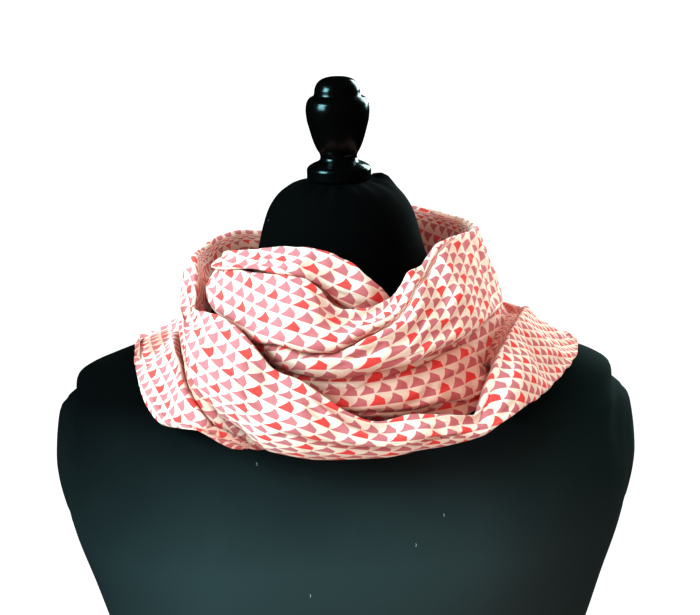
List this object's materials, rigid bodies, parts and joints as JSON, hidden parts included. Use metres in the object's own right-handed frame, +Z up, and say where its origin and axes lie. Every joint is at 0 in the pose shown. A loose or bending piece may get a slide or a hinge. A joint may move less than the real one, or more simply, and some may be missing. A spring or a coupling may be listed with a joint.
{
  "type": "infinity scarf on dress form",
  "caption": "Endless printed scarf wound twice round the neck of a limbless black dress form with a turned knob on its neck.",
  "frame": {"origin": "centre of the neck's axis on the form's flat hip line", "axes": "+Z up along the neck, -Y to the front of the chest, +X to the form's left"},
  "size_m": [0.408, 0.2722, 0.7715],
  "materials": {
    "cloth": "matt woven print",
    "jersey": "matt jersey",
    "lacquer": "gloss lacquer"
  },
  "bodies": {
    "root": {"outer_left": "cloth", "outer_back": "cloth", "outer_right": "cloth", "outer_front": "cloth", "collar_back": "cloth", "upper_front": "cloth", "upper_lip": "cloth", "inner_front": "cloth", "form_torso": "jersey", "form_finial": "lacquer"}
  },
  "joints": []
}
